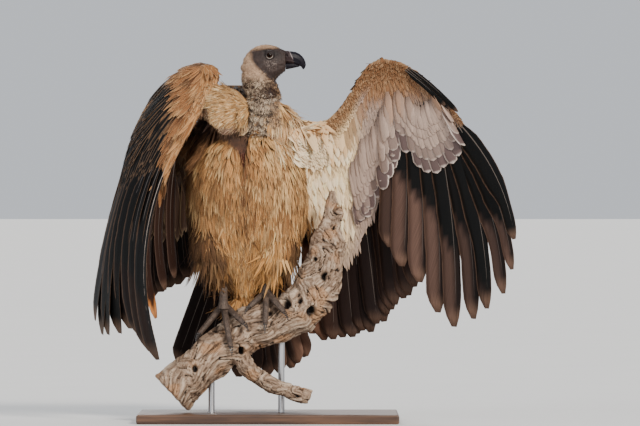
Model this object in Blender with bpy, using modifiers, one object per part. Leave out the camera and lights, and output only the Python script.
"""White-backed vulture sunning its wings on a dead branch, as a life-size display model.

Metres, +Z up. The bird's chest faces -Y, its left wing is at +X, and it looks towards +X.
The origin is on the underside of the stand's flat base, below the middle of the body.
Each part of the body is one closed solid, and neighbours keep a thin gap between them.
"""
import math

import bmesh
import bpy
import numpy as np
from mathutils import Matrix, noise

# ---- general sizes ----
GAP = 0.0004                 # clear space between two neighbouring solids
FLAT = math.radians(0.9)     # faces that meet this flatly become one
SHARPEST = 2.0               # how much further than the gap a sharp corner is pushed
VANE_THICKNESS = 0.0018      # a fan of flight feathers
RING_SIDES = 16              # points round a body section
VANE_STEPS = 3               # columns of faces to one flight feather
VANE_ROWS = 3                # and rows from its root to its tip

# ---- the body: rows of (centre x, centre y, height z, half width, half depth) ----
TRUNK = ((-0.006, 0.020, 0.262, 0.016, 0.014),
         (-0.002, 0.034, 0.300, 0.052, 0.044),
         (0.001, 0.048, 0.345, 0.088, 0.080),
         (0.003, 0.042, 0.400, 0.126, 0.106),
         (0.004, 0.018, 0.465, 0.134, 0.120),
         (0.004, 0.000, 0.530, 0.128, 0.120),
         (0.006, -0.002, 0.590, 0.116, 0.108),
         (0.008, 0.012, 0.645, 0.096, 0.082),
         (-0.004, 0.026, 0.700, 0.070, 0.054),
         (-0.026, 0.030, 0.736, 0.036, 0.024))
CROP_CENTRE = (-0.037, -0.078, 0.664)
CROP_RADII = (0.052, 0.046, 0.052)
RUFF = ((0.033, 0.000, 0.622, 0.099, 0.080),
        (0.037, -0.022, 0.655, 0.082, 0.062),
        (0.041, -0.048, 0.686, 0.049, 0.040))

# ---- neck and head; the head lies along +X in the plane y = HEAD_Y ----
HEAD_Y = -0.055
NECK = ((0.030, -0.040, 0.640, 0.034), (0.043, -0.060, 0.680, 0.034),
        (0.038, -0.058, 0.705, 0.034), (0.029, HEAD_Y, 0.738, 0.037), (0.013, HEAD_Y, 0.764, 0.021))
NECK_JOINT = 0.704           # height where the bare upper neck starts
CROWN_NARROWING = 0.10       # how much narrower the head is on top than at its middle
# rows of (x, top z, bottom z, half width)
HEAD = ((-0.006, 0.770, 0.764, 0.005), (0.003, 0.786, 0.750, 0.017),
        (0.016, 0.800, 0.735, 0.026), (0.033, 0.808, 0.724, 0.0295),
        (0.050, 0.809, 0.722, 0.029), (0.065, 0.806, 0.729, 0.025),
        (0.078, 0.801, 0.740, 0.020), (0.088, 0.797, 0.752, 0.0155))
# rows of (x, z, radius up and down, radius across)
UPPER_BILL = ((0.080, 0.784, 0.0130, 0.0130), (0.095, 0.7835, 0.0125, 0.0125),
              (0.108, 0.781, 0.0130, 0.0105), (0.119, 0.774, 0.0105, 0.0080),
              (0.1255, 0.765, 0.0060, 0.0050), (0.1255, 0.757, 0.0010, 0.0010))
LOWER_BILL = ((0.070, 0.7615, 0.0080, 0.0110), (0.090, 0.7630, 0.0062, 0.0095),
              (0.105, 0.7642, 0.0045, 0.0070), (0.117, 0.7640, 0.0015, 0.0025))
EYE_X, EYE_Z, EYE_RADIUS = 0.0535, 0.7865, 0.0105
EYE_OUT = 0.0195             # eye centre to the middle plane of the head

# ---- wings: rows of leading edge, trailing edge, thickness ----
LEFT_WING = ((0.054, 0.020, 0.638, 0.058, 0.050, 0.467, 0.060),
             (0.118, 0.030, 0.654, 0.142, 0.070, 0.395, 0.050),
             (0.166, 0.045, 0.650, 0.196, 0.085, 0.330, 0.040),
             (0.210, 0.042, 0.691, 0.240, 0.080, 0.370, 0.034),
             (0.252, 0.030, 0.762, 0.282, 0.060, 0.464, 0.034),
             (0.290, 0.010, 0.788, 0.310, 0.035, 0.525, 0.036),
             (0.340, -0.010, 0.776, 0.351, 0.010, 0.540, 0.030),
             (0.393, -0.030, 0.737, 0.402, -0.010, 0.537, 0.024),
             (0.444, -0.050, 0.678, 0.444, -0.035, 0.563, 0.018),
             (0.476, -0.065, 0.631, 0.467, -0.060, 0.584, 0.010))
# the half folded right wing hangs like a cloak: rows of height, then x, y of its front edge,
# of its outermost bulge and of its back edge, and its thickness
RIGHT_CLOAK = ((0.771, -0.070, -0.050, -0.086, -0.040, -0.098, -0.015, 0.012),
               (0.758, -0.054, -0.058, -0.108, -0.030, -0.134, 0.030, 0.034),
               (0.730, -0.054, -0.064, -0.144, -0.010, -0.158, 0.080, 0.042),
               (0.690, -0.079, -0.088, -0.178, 0.000, -0.171, 0.130, 0.042),
               (0.630, -0.113, -0.108, -0.218, 0.015, -0.160, 0.168, 0.038),
               (0.570, -0.145, -0.112, -0.244, 0.030, -0.138, 0.188, 0.030),
               (0.500, -0.173, -0.105, -0.266, 0.045, -0.122, 0.194, 0.012))
# shoulder, elbow and wrist of the right arm: rows of x, y, z, radius
RIGHT_ARM = ((-0.060, 0.020, 0.615, 0.046), (-0.125, 0.095, 0.595, 0.042),
             (-0.172, 0.130, 0.618, 0.036), (-0.166, 0.092, 0.668, 0.033),
             (-0.125, 0.035, 0.712, 0.030), (-0.092, -0.015, 0.738, 0.024))
LEFT_WRIST = 0.56            # share of the left wing's length where the hand starts
WRIST_GAP = 0.004            # share of the length left clear there
LEFT_DORSAL = (0.0, 1.0, 0.15)
LEFT_CAMBER = 0.06           # bow of a section, as a share of its chord

# ---- flight feathers: the root line, and the line of the tips from the outermost inwards ----
LEFT_PRIMARY_ROOTS = ((0.446, -0.044, 0.655), (0.404, -0.028, 0.690), (0.323, 0.008, 0.727))
LEFT_PRIMARY_TIPS = ((0.571, -0.170, 0.392), (0.545, -0.120, 0.281), (0.490, -0.060, 0.215),
                     (0.448, -0.030, 0.205), (0.400, -0.008, 0.232), (0.310, 0.026, 0.372))
LEFT_SECONDARY_ROOTS = ((0.316, 0.024, 0.719), (0.226, 0.065, 0.564), (0.150, 0.078, 0.475))
LEFT_SECONDARY_TIPS = ((0.366, 0.045, 0.292), (0.315, 0.070, 0.240), (0.272, 0.090, 0.194),
                       (0.215, 0.112, 0.178), (0.116, 0.134, 0.196))
RIGHT_PRIMARY_ROOTS = ((-0.155, -0.106, 0.575), (-0.210, -0.055, 0.580), (-0.240, 0.030, 0.590))
RIGHT_PRIMARY_TIPS = ((-0.186, -0.100, 0.134), (-0.232, -0.025, 0.176), (-0.284, 0.020, 0.180),
                      (-0.316, 0.065, 0.222), (-0.310, 0.125, 0.310))
RIGHT_SECONDARY_ROOTS = ((-0.240, 0.045, 0.595), (-0.214, 0.135, 0.590), (-0.138, 0.186, 0.575))
RIGHT_SECONDARY_TIPS = ((-0.300, 0.145, 0.345), (-0.284, 0.205, 0.318), (-0.222, 0.245, 0.252),
                        (-0.170, 0.245, 0.262), (-0.104, 0.222, 0.330))
# how the flight feathers fan: their number, the depth of the notch between two tips, and the bow
LEFT_PRIMARY_FAN = (10, 0.16, (0.020, -0.012, 0.010))
LEFT_SECONDARY_FAN = (10, 0.05, (0.0, 0.012, 0.0))
RIGHT_PRIMARY_FAN = (10, 0.07, (-0.014, -0.012, 0.0))
RIGHT_SECONDARY_FAN = (10, 0.05, (-0.008, 0.020, 0.0))
TAIL_FAN = (10, 0.05, (0.0, 0.015, 0.0))
LEFT_ALULA = ((0.345, -0.022, 0.748, 0.011), (0.402, -0.043, 0.716, 0.010),
              (0.446, -0.060, 0.674, 0.003))

# ---- tail ----
TAIL_ROOTS = ((-0.062, 0.105, 0.372), (0.000, 0.125, 0.375), (0.048, 0.110, 0.370))
TAIL_TIPS = ((-0.152, 0.175, 0.130), (-0.100, 0.195, 0.102), (0.000, 0.205, 0.090),
             (0.080, 0.195, 0.102), (0.126, 0.175, 0.132))

# ---- legs: rows of x, y, z, radius ----
THIGH = ((0.070, 0.004, 0.430, 0.048), (0.070, -0.006, 0.375, 0.054),
         (0.058, -0.002, 0.330, 0.040), (0.047, 0.008, 0.302, 0.016))
TARSUS_TOP = (0.048, 0.020, 0.330)
TARSUS_RADIUS = 0.0085
FEET = {"left": (0.047, -0.004, 0.281), "right": (-0.046, -0.012, 0.254)}
TOE_RADIUS = 0.0075
TOE_START = 0.14             # share of a toe's length that the foot's pad covers
CLAW_LENGTH = 0.021
CLAW_RADIUS = 0.0052
CLAW_POINT = 0.0007          # radius at the tip of a claw
CLAW_DROP = 0.45             # how far a claw curves down, as a share of its length
HIND_CLAW_TURN = 0.25        # forward or back, as a claw curls round the branch
# the tip of each toe as seen from the front; a toe lies on the branch's surface
TOES = {"left": {"outer": (0.084, 0.238), "middle": (0.044, 0.214), "inner": (0.010, 0.249)},
        "right": {"outer": (-0.098, 0.190), "middle": (-0.030, 0.165), "inner": (-0.002, 0.214)}}

# ---- perch: rows of x, y, z, radius ----
LIMB = ((-0.157, -0.010, 0.062, 0.050), (-0.086, -0.005, 0.128, 0.046),
        (-0.037, 0.000, 0.172, 0.047), (0.011, 0.000, 0.200, 0.050),
        (0.075, 0.000, 0.224, 0.050), (0.129, -0.004, 0.250, 0.047), (0.150, -0.006, 0.276, 0.044))
SNAG = ((0.150, -0.006, 0.276, 0.046), (0.166, -0.012, 0.325, 0.044), (0.178, -0.013, 0.385, 0.036),
        (0.183, -0.011, 0.440, 0.018), (0.187, -0.008, 0.498, 0.007))
PRONG = ((0.180, -0.018, 0.392, 0.015), (0.197, -0.020, 0.430, 0.013), (0.204, -0.020, 0.463, 0.005))
TWIG = ((-0.016, -0.012, 0.152, 0.022), (0.012, -0.028, 0.110, 0.019), (0.049, -0.034, 0.086, 0.018),
        (0.097, -0.034, 0.067, 0.017), (0.140, -0.034, 0.052, 0.016))
KNOTTINESS = 0.28            # how much the branch's radius varies
KNOT_SCALE = 22.0            # knots to a metre, about

# ---- stand ----
BASE_SIZE = (0.56, 0.34, 0.020)
BASE_CENTRE = (0.050, 0.030)
BASE_BEVEL = 0.004
ROD_RADIUS = 0.007
RODS = {"left": (0.078, 0.014, 0.200), "right": (-0.072, 0.006, 0.130)}


# ---------------------------------------------------------------- helpers
def empty_scene():
    """Take away whatever the file holds at the start."""
    for thing in list(bpy.data.objects):
        bpy.data.objects.remove(thing, do_unlink=True)


def new_collection(name):
    """A collection linked into the scene."""
    group = bpy.data.collections.new(name)
    bpy.context.scene.collection.children.link(group)
    return group


def finish(name, colour, roughness, metallic=0.0):
    """A plain Principled material."""
    material = bpy.data.materials.new(name)
    material.use_nodes = True
    shader = material.node_tree.nodes["Principled BSDF"]
    shader.inputs["Base Color"].default_value = (*colour, 1.0)
    shader.inputs["Roughness"].default_value = roughness
    shader.inputs["Metallic"].default_value = metallic
    material.diffuse_color = (*colour, 1.0)
    return material


def smooth(points, count):
    """Points spread evenly along a Catmull-Rom curve through rows of any width."""
    rows = np.array(points, float)
    rows = np.vstack([2 * rows[0] - rows[1], rows, 2 * rows[-1] - rows[-2]])
    found = []
    for place in np.linspace(0.0, len(rows) - 3.0, count):
        start = min(int(place), len(rows) - 4)
        u = place - start
        a, b, c, d = rows[start:start + 4]
        found.append(0.5 * (2 * b + (c - a) * u + (2 * a - 5 * b + 4 * c - d) * u ** 2
                            + (3 * b - a - 3 * c + d) * u ** 3))
    return np.array(found)


def unit(vector):
    """The vector at length one."""
    return np.asarray(vector, float) / np.linalg.norm(vector)


def mesh_object(name, mesh, material, group):
    """An object for a mesh, in its collection and with its material."""
    piece = bpy.data.objects.new(name, mesh)
    mesh.materials.append(material)
    group.objects.link(piece)
    return piece


def loft(name, rings, material, group):
    """A closed skin over rings of equal point count, with a flat face at each end."""
    shape = bmesh.new()
    loops = [[shape.verts.new(point) for point in ring] for ring in rings]
    sides = len(loops[0])
    for low, high in zip(loops, loops[1:]):
        for i in range(sides):
            j = (i + 1) % sides
            shape.faces.new((low[i], low[j], high[j], high[i]))
    shape.faces.new(loops[0])
    shape.faces.new(loops[-1])
    bmesh.ops.recalc_face_normals(shape, faces=shape.faces)
    bmesh.ops.triangulate(shape, faces=shape.faces)
    mesh = bpy.data.meshes.new(name)
    shape.to_mesh(mesh)
    shape.free()
    mesh.shade_smooth()
    mesh.set_sharp_from_angle(angle=math.radians(50))
    return mesh_object(name, mesh, material, group)


def body_rings(rows, count):
    """Level oval sections for a body given by centre, height and half sizes."""
    turn = np.linspace(0.0, 2 * math.pi, RING_SIDES, endpoint=False)
    rings = []
    for x, y, z, half_width, half_depth in smooth(rows, count):
        rings.append([(x + half_width * math.cos(a), y + half_depth * math.sin(a), z) for a in turn])
    return rings


def tube_rings(path, count, sides=12, knots=0.0):
    """Round sections across a path of (x, y, z, radius), with an optional knotty radius."""
    rows = smooth(path, count)
    places = rows[:, :3]
    along = np.gradient(places, axis=0)
    side = unit(np.cross(along[0], (0.0, 1.0, 0.07)))
    rings = []
    for place, ahead, radius in zip(places, along, rows[:, 3]):
        ahead = unit(ahead)
        side = unit(side - ahead * side.dot(ahead))
        other = np.cross(ahead, side)
        ring = []
        for a in np.linspace(0.0, 2 * math.pi, sides, endpoint=False):
            out = side * math.cos(a) + other * math.sin(a)
            lump = noise.noise((place + out * radius) * KNOT_SCALE)
            ring.append(place + out * radius * (1.0 + knots * lump))
        rings.append(ring)
    return rings


def wing_rings(rows, dorsal, camber, count, start, end):
    """Cambered wing sections between two shares of the wing's length."""
    stations = smooth(rows, count * 4 + 1)
    places = np.linspace(start, end, count) * (len(stations) - 1)
    rings = []
    for place in places:
        low = min(int(place), len(stations) - 2)
        row = stations[low] + (stations[low + 1] - stations[low]) * (place - low)
        front, back, thick = row[:3], row[3:6], row[6]
        chord = back - front
        up = unit(np.array(dorsal) - unit(chord) * unit(chord).dot(dorsal))
        ring = []
        for a in np.linspace(0.0, 2 * math.pi, RING_SIDES, endpoint=False):
            u = 0.5 * (1.0 - math.cos(a))
            lift = 0.5 * thick * math.sin(a) * (1.0 - 0.6 * u)
            bow = camber * np.linalg.norm(chord) * math.sin(math.pi * u)
            ring.append(front + chord * u + up * (lift + bow))
        rings.append(ring)
    return rings


def cloak_rings(rows, count, points=8):
    """Level sections of the hanging wing: a bowed wall through three points, round at its edges."""
    rings = []
    for z, fx, fy, mx, my, bx, by, thick in smooth(rows, count):
        front, middle, back = np.array((fx, fy)), np.array((mx, my)), np.array((bx, by))
        share = np.linspace(0.0, 1.0, points)[:, None]
        line = (front * (1 - share) * (1 - 2 * share) + middle * 4 * share * (1 - share)
                + back * share * (2 * share - 1))
        along = np.gradient(line, axis=0)
        out = np.stack((-along[:, 1], along[:, 0]), axis=1)
        out /= np.linalg.norm(out, axis=1)[:, None]
        wall = 0.5 * thick * np.sqrt(np.sin(np.pi * (0.08 + 0.84 * share)))
        outer, inner = line + out * wall, line - out * wall
        rings.append([(x, y, z) for x, y in np.vstack((outer, inner[::-1]))])
    return rings


def feather_fan(name, roots, tips, fan, material, group):
    """A fan of flight feathers: one thin cambered sheet whose edge is a row of rounded tips."""
    feathers, notch, bow = fan
    columns = feathers * VANE_STEPS + 1
    root_line = smooth(roots, columns)
    tip_line = smooth(tips, columns)
    shape = bmesh.new()
    grid = []
    for c in range(columns):
        across = abs((c % VANE_STEPS) / VANE_STEPS - 0.5) * 2.0     # 1 between two feathers
        reach = 1.0 - notch * across ** 2.5
        line = []
        for r in range(VANE_ROWS + 1):
            t = reach * r / VANE_ROWS
            place = root_line[c] + (tip_line[c] - root_line[c]) * t
            line.append(shape.verts.new(place + np.array(bow) * math.sin(math.pi * t)))
        grid.append(line)
    for one, two in zip(grid, grid[1:]):
        for r in range(VANE_ROWS):
            shape.faces.new((one[r], one[r + 1], two[r + 1], two[r]))
    mesh = bpy.data.meshes.new(name)
    shape.to_mesh(mesh)
    shape.free()
    piece = mesh_object(name, mesh, material, group)
    wall = piece.modifiers.new("vane", "SOLIDIFY")
    wall.thickness = VANE_THICKNESS
    wall.offset = 0.0
    return piece


def evaluated_mesh(piece):
    """The piece's mesh with its modifiers applied."""
    bpy.context.view_layer.update()
    graph = bpy.context.evaluated_depsgraph_get()
    return bpy.data.meshes.new_from_object(piece.evaluated_get(graph))


def boxes_meet(mesh_a, mesh_b):
    """Whether the boxes of two meshes come within the gap of each other."""
    corners = []
    for mesh in (mesh_a, mesh_b):
        places = np.array([v.co for v in mesh.vertices])
        corners.append((places.min(axis=0) - GAP, places.max(axis=0) + GAP))
    (low_a, high_a), (low_b, high_b) = corners
    return bool(np.all(low_a < high_b) and np.all(low_b < high_a))


def cut_clear(piece, neighbours, cutters):
    """Take each neighbour, grown by the gap, out of the piece, and keep its main body."""
    own = evaluated_mesh(piece)
    for neighbour in neighbours:
        mesh = evaluated_mesh(neighbour)
        if not boxes_meet(own, mesh):
            continue
        shape = bmesh.new()
        shape.from_mesh(mesh)
        shape.normal_update()
        moved = [(v, v.co + v.normal * GAP * min(SHARPEST, v.calc_shell_factor()))
                 for v in shape.verts]
        for vertex, place in moved:
            vertex.co = place
        shape.to_mesh(mesh)
        shape.free()
        cutter = bpy.data.objects.new(f"{piece.name}_clear_of_{neighbour.name}", mesh)
        cutters.objects.link(cutter)
        cutter.hide_render = True
        cutter.display_type = "WIRE"
        cut = piece.modifiers.new(f"clear_{neighbour.name}"[:60], "BOOLEAN")
        cut.operation = "DIFFERENCE"
        cut.solver = "EXACT"
        cut.object = cutter
        if not evaluated_mesh(piece).polygons:       # the exact solver lost the piece
            cut.solver = "MANIFOLD"
    keep_main_body(piece)


def keep_main_body(piece):
    """Apply the piece's modifiers, and drop crumbs that a cut has left apart from its body."""
    mesh = evaluated_mesh(piece)
    piece.modifiers.clear()
    shape = bmesh.new()
    shape.from_mesh(mesh)
    bmesh.ops.remove_doubles(shape, verts=shape.verts, dist=0.00002)
    bodies = []
    waiting = set(shape.verts)
    while waiting:
        body, edge = set(), [waiting.pop()]
        while edge:
            vertex = edge.pop()
            body.add(vertex)
            near = {e.other_vert(vertex) for e in vertex.link_edges} & waiting
            waiting -= near
            edge.extend(near)
        bodies.append(body)
    main = max(bodies, key=lambda body: sum(f.calc_area() for v in body for f in v.link_faces))
    bmesh.ops.delete(shape, geom=[v for v in shape.verts if v not in main], context="VERTS")
    bmesh.ops.dissolve_limit(shape, angle_limit=FLAT, verts=shape.verts, edges=shape.edges)
    bmesh.ops.triangulate(shape, faces=shape.faces)
    shape.to_mesh(mesh)
    shape.free()
    piece.data = mesh


def ball(name, centre, radii, segments, material, group):
    """An oval ball."""
    shape = bmesh.new()
    bmesh.ops.create_uvsphere(shape, u_segments=segments, v_segments=segments // 2, radius=1.0)
    bmesh.ops.transform(shape, matrix=Matrix.Translation(centre) @ Matrix.Diagonal((*radii, 1.0)),
                        verts=shape.verts)
    bmesh.ops.triangulate(shape, faces=shape.faces)
    mesh = bpy.data.meshes.new(name)
    shape.to_mesh(mesh)
    shape.free()
    mesh.shade_smooth()
    return mesh_object(name, mesh, material, group)


# ---------------------------------------------------------------- the bird
def make_trunk(looks, group, cutters):
    """Breast, belly and back as one feathered body, with the crop and the ruff in front."""
    trunk = loft("trunk", body_rings(TRUNK, 13), looks["breast"], group)
    crop = ball("crop", CROP_CENTRE, CROP_RADII, 14, looks["ruff"], group)
    ruff = loft("ruff", body_rings(RUFF, 7), looks["ruff"], group)
    cut_clear(crop, [trunk], cutters)
    cut_clear(ruff, [trunk, crop], cutters)
    return trunk, crop, ruff


def head_rings(rows, count, sides=14):
    """Upright oval sections of the head along X."""
    rings = []
    for x, top, bottom, half_width in smooth(rows, count):
        middle, half_height = 0.5 * (top + bottom), 0.5 * (top - bottom)
        ring = []
        for a in np.linspace(0.0, 2 * math.pi, sides, endpoint=False):
            flat = 1.0 - CROWN_NARROWING * math.sin(a)
            ring.append((x, HEAD_Y + half_width * flat * math.cos(a),
                         middle + half_height * math.sin(a)))
        rings.append(ring)
    return rings


def bill_rings(rows, count, sides=10):
    """Sections of half a bill, square to its curved middle line."""
    stations = smooth(rows, count)
    along = np.gradient(stations[:, :2], axis=0)
    rings = []
    for (x, z, tall, wide), ahead in zip(stations, along):
        ahead = unit(ahead)
        up = (-ahead[1], ahead[0])
        ring = []
        for a in np.linspace(0.0, 2 * math.pi, sides, endpoint=False):
            rise = tall * math.sin(a)
            ring.append((x + up[0] * rise, HEAD_Y + wide * math.cos(a), z + up[1] * rise))
        rings.append(ring)
    return rings


def make_head(looks, group, cutters):
    """Head with its eyes let in, and the two halves of the hooked bill."""
    head = loft("head", head_rings(HEAD, 12), looks["face"], group)
    eyes = []
    for side, way in (("right", -1.0), ("left", 1.0)):
        centre = (EYE_X, HEAD_Y + way * EYE_OUT, EYE_Z)
        eyes.append(ball(f"eye_{side}", centre, (EYE_RADIUS,) * 3, 12, looks["eye"], group))
    cut_clear(head, eyes, cutters)
    upper = loft("bill_upper", bill_rings(UPPER_BILL, 12), looks["bill"], group)
    lower = loft("bill_lower", bill_rings(LOWER_BILL, 7), looks["bill"], group)
    cut_clear(upper, [head], cutters)
    cut_clear(lower, [head, upper], cutters)
    return head


def make_neck(head, trunk, crop, ruff, looks, group, cutters):
    """The feathered foot of the neck, and the bare upper neck up to the head."""
    rows = smooth(NECK, 25)
    low = [row for row in rows if row[2] < NECK_JOINT]
    high = [row for row in rows if row[2] > NECK_JOINT]
    cut_height = np.array(low[-1]) + (np.array(high[0]) - low[-1]) * 0.5
    below, above = cut_height.copy(), cut_height.copy()
    below[2] -= GAP
    above[2] += GAP
    lower = loft("neck_lower", tube_rings(low[:-1:2] + [below], 7, 12), looks["ruff"], group)
    upper = loft("neck_upper", tube_rings([above] + high[1::2], 7, 12), looks["down"], group)
    cut_clear(lower, [trunk, crop, ruff], cutters)
    cut_clear(upper, [head, lower, ruff, crop], cutters)


def make_left_wing(body, looks, group, cutters):
    """Arm, hand, alula and the two fans of flight feathers of the spread wing."""
    sections = (LEFT_WING, LEFT_DORSAL, LEFT_CAMBER)
    arm = loft("wing_left_arm", wing_rings(*sections, 10, 0.0, LEFT_WRIST), looks["lining"], group)
    hand = loft("wing_left_hand", wing_rings(*sections, 7, LEFT_WRIST + WRIST_GAP, 1.0),
                looks["lining"], group)
    primaries = feather_fan("wing_left_primaries", LEFT_PRIMARY_ROOTS, LEFT_PRIMARY_TIPS,
                            LEFT_PRIMARY_FAN, looks["flight"], group)
    secondaries = feather_fan("wing_left_secondaries", LEFT_SECONDARY_ROOTS, LEFT_SECONDARY_TIPS,
                              LEFT_SECONDARY_FAN, looks["flight"], group)
    alula = loft("wing_left_alula", tube_rings(LEFT_ALULA, 9, 8), looks["flight"], group)
    cut_clear(arm, body, cutters)
    cut_clear(hand, [arm], cutters)
    cut_clear(primaries, [arm, hand], cutters)
    cut_clear(secondaries, [arm, hand, primaries] + body, cutters)
    cut_clear(alula, [hand, primaries], cutters)


def make_right_wing(body, looks, group, cutters):
    """Bent arm, hanging hand and coverts, and the two fans of the half folded wing."""
    arm = loft("wing_right_arm", tube_rings(RIGHT_ARM, 10), looks["covert"], group)
    hand = loft("wing_right_hand", cloak_rings(RIGHT_CLOAK, 8), looks["covert"], group)
    primaries = feather_fan("wing_right_primaries", RIGHT_PRIMARY_ROOTS, RIGHT_PRIMARY_TIPS,
                            RIGHT_PRIMARY_FAN, looks["flight"], group)
    secondaries = feather_fan("wing_right_secondaries", RIGHT_SECONDARY_ROOTS,
                              RIGHT_SECONDARY_TIPS, RIGHT_SECONDARY_FAN, looks["flight"], group)
    cut_clear(arm, body, cutters)
    cut_clear(hand, [arm] + body, cutters)
    cut_clear(primaries, [hand, arm], cutters)
    cut_clear(secondaries, [hand, arm, primaries] + body, cutters)


def make_tail(trunk, looks, group, cutters):
    """The fanned tail."""
    tail = feather_fan("tail", TAIL_ROOTS, TAIL_TIPS, TAIL_FAN, looks["flight"], group)
    cut_clear(tail, [trunk], cutters)


def branch_front(x, z, lift):
    """Depth of the limb's front surface at a place seen from the front, plus a lift."""
    rows = smooth(LIMB, 60)
    gaps = np.hypot(rows[:, 0] - x, rows[:, 2] - z)
    near = rows[np.argmin(gaps)]
    reach = near[3] + lift
    return near[1] - math.sqrt(max(reach ** 2 - gaps.min() ** 2, 0.0))


def toe_path(start, tip, points=6):
    """A toe from the foot's middle over the branch to its tip, hugging the wood."""
    path = []
    for t in np.linspace(TOE_START, 1.0, points):
        x = start[0] + (tip[0] - start[0]) * t
        z = start[2] + (tip[1] - start[2]) * t
        y = branch_front(x, z, TOE_RADIUS * 1.1)
        blend = min(1.0, t * 3.0)
        path.append((x, start[1] * (1.0 - blend) + y * blend, z, TOE_RADIUS * (1.0 - 0.30 * t)))
    return path


def claw_path(toe):
    """A curved claw that goes on from a toe's end."""
    rows = smooth(toe, 12)
    place, ahead = rows[-1, :3], unit(rows[-1, :3] - rows[-3, :3])
    points_back = ahead[1] > HIND_CLAW_TURN
    down = np.array((0.0, HIND_CLAW_TURN if points_back else -HIND_CLAW_TURN, -0.95))
    path = []
    place = place + ahead * 2.0 * GAP
    for t in np.linspace(0.0, 1.0, 5):
        centre = place + CLAW_LENGTH * (ahead * t * (1.0 - 0.35 * t) + down * CLAW_DROP * t * t)
        path.append((*centre, CLAW_RADIUS * (1.0 - t) ** 0.8 + CLAW_POINT))
    return path


def make_leg(side, trunk, limb, feet, looks, group, cutters):
    """Feathered thigh, scaly shank, four toes and their claws."""
    way = 1.0 if side == "left" else -1.0
    foot = FEET[side]
    thigh_path = [(way * x, y, z, radius) for x, y, z, radius in THIGH]
    thigh = loft(f"thigh_{side}", tube_rings(thigh_path, 7, 12), looks["breast"], group)
    cut_clear(thigh, [trunk], cutters)
    x, y, z = TARSUS_TOP
    shank = [(way * x, y, z, TARSUS_RADIUS * 1.1), (*foot[:2], foot[2] + 0.012, TARSUS_RADIUS),
             (*foot[:2], foot[2] - 0.008, TARSUS_RADIUS * 1.5)]
    tarsus = loft(f"tarsus_{side}", tube_rings(shank, 7, 10), looks["leg"], group)
    cut_clear(tarsus, [thigh, trunk, limb], cutters)
    toes = {name: toe_path(foot, tip) for name, tip in TOES[side].items()}
    toes["hind"] = [(foot[0], foot[1] + 0.008, foot[2], TOE_RADIUS),
                    (foot[0], foot[1] + 0.030, foot[2] + 0.002, TOE_RADIUS),
                    (foot[0], foot[1] + 0.052, foot[2] - 0.020, TOE_RADIUS * 0.75)]
    feet.append(tarsus)
    for name, path in toes.items():
        toe = loft(f"toe_{side}_{name}", tube_rings(path, 7, 6), looks["leg"], group)
        cut_clear(toe, [limb] + feet, cutters)
        claw = loft(f"claw_{side}_{name}", tube_rings(claw_path(path), 5, 5), looks["claw"], group)
        cut_clear(claw, [limb, toe] + feet, cutters)
        feet += [toe, claw]


# ---------------------------------------------------------------- perch and stand
def make_perch(looks, group, cutters):
    """A knotty dead limb, the broken snag at its end and a side twig."""
    limb = loft("perch_limb", tube_rings(LIMB, 15, 11, KNOTTINESS), looks["wood"], group)
    snag = loft("perch_snag", tube_rings(SNAG, 11, 10, KNOTTINESS), looks["wood"], group)
    prong = loft("perch_prong", tube_rings(PRONG, 6, 8), looks["wood"], group)
    twig = loft("perch_twig", tube_rings(TWIG, 10, 8, KNOTTINESS), looks["wood"], group)
    cut_clear(snag, [limb], cutters)
    cut_clear(prong, [snag], cutters)
    cut_clear(twig, [limb], cutters)
    return limb


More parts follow.
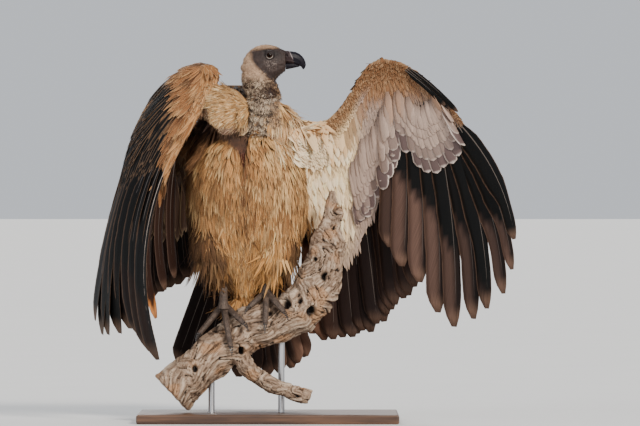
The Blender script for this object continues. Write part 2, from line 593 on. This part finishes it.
def make_stand(limb, looks, group, cutters):
    """A flat base and two short rods up to the limb."""
    shape = bmesh.new()
    bmesh.ops.create_cube(shape, size=1.0)
    place = Matrix.Translation((*BASE_CENTRE, BASE_SIZE[2] / 2)) @ Matrix.Diagonal((*BASE_SIZE, 1.0))
    bmesh.ops.transform(shape, matrix=place, verts=shape.verts)
    mesh = bpy.data.meshes.new("stand_base")
    shape.to_mesh(mesh)
    shape.free()
    base = mesh_object("stand_base", mesh, looks["base"], group)
    edge = base.modifiers.new("edges", "BEVEL")
    edge.width = BASE_BEVEL
    edge.segments = 2
    for side, (x, y, top) in RODS.items():
        bottom = BASE_SIZE[2] + GAP
        shape = bmesh.new()
        bmesh.ops.create_cone(shape, cap_ends=True, segments=12, radius1=ROD_RADIUS,
                              radius2=ROD_RADIUS, depth=top - bottom)
        bmesh.ops.translate(shape, vec=(x, y, 0.5 * (top + bottom)), verts=shape.verts)
        mesh = bpy.data.meshes.new(f"stand_rod_{side}")
        shape.to_mesh(mesh)
        shape.free()
        rod = mesh_object(f"stand_rod_{side}", mesh, looks["steel"], group)
        cut_clear(rod, [limb], cutters)


def make_looks():
    """The plain finishes of the parts."""
    return {"breast": finish("breast_feathers", (0.52, 0.33, 0.17), 0.85),
            "ruff": finish("ruff_feathers", (0.58, 0.38, 0.20), 0.85),
            "down": finish("neck_down", (0.30, 0.22, 0.17), 0.90),
            "face": finish("bare_face", (0.10, 0.075, 0.06), 0.60),
            "bill": finish("bill_horn", (0.03, 0.028, 0.03), 0.35),
            "eye": finish("eye_dark", (0.01, 0.008, 0.006), 0.08),
            "lining": finish("wing_lining", (0.55, 0.46, 0.36), 0.85),
            "covert": finish("wing_coverts", (0.40, 0.22, 0.11), 0.85),
            "flight": finish("flight_feathers", (0.035, 0.025, 0.022), 0.60),
            "leg": finish("leg_scales", (0.08, 0.06, 0.05), 0.60),
            "claw": finish("claw_horn", (0.02, 0.018, 0.018), 0.40),
            "wood": finish("weathered_wood", (0.36, 0.27, 0.20), 0.90),
            "base": finish("base_wood", (0.09, 0.05, 0.03), 0.45),
            "steel": finish("rod_steel", (0.45, 0.45, 0.46), 0.35, 1.0)}


def main():
    """Build the bird, its perch and the stand."""
    empty_scene()
    group = new_collection("white_backed_vulture")
    cutters = new_collection("cutters")
    looks = make_looks()
    trunk, crop, ruff = make_trunk(looks, group, cutters)
    head = make_head(looks, group, cutters)
    make_neck(head, trunk, crop, ruff, looks, group, cutters)
    body = [trunk, crop, ruff]
    make_left_wing(body, looks, group, cutters)
    make_right_wing(body, looks, group, cutters)
    make_tail(trunk, looks, group, cutters)
    limb = make_perch(looks, group, cutters)
    feet = []
    for side in ("right", "left"):
        make_leg(side, trunk, limb, feet, looks, group, cutters)
    make_stand(limb, looks, group, cutters)


main()
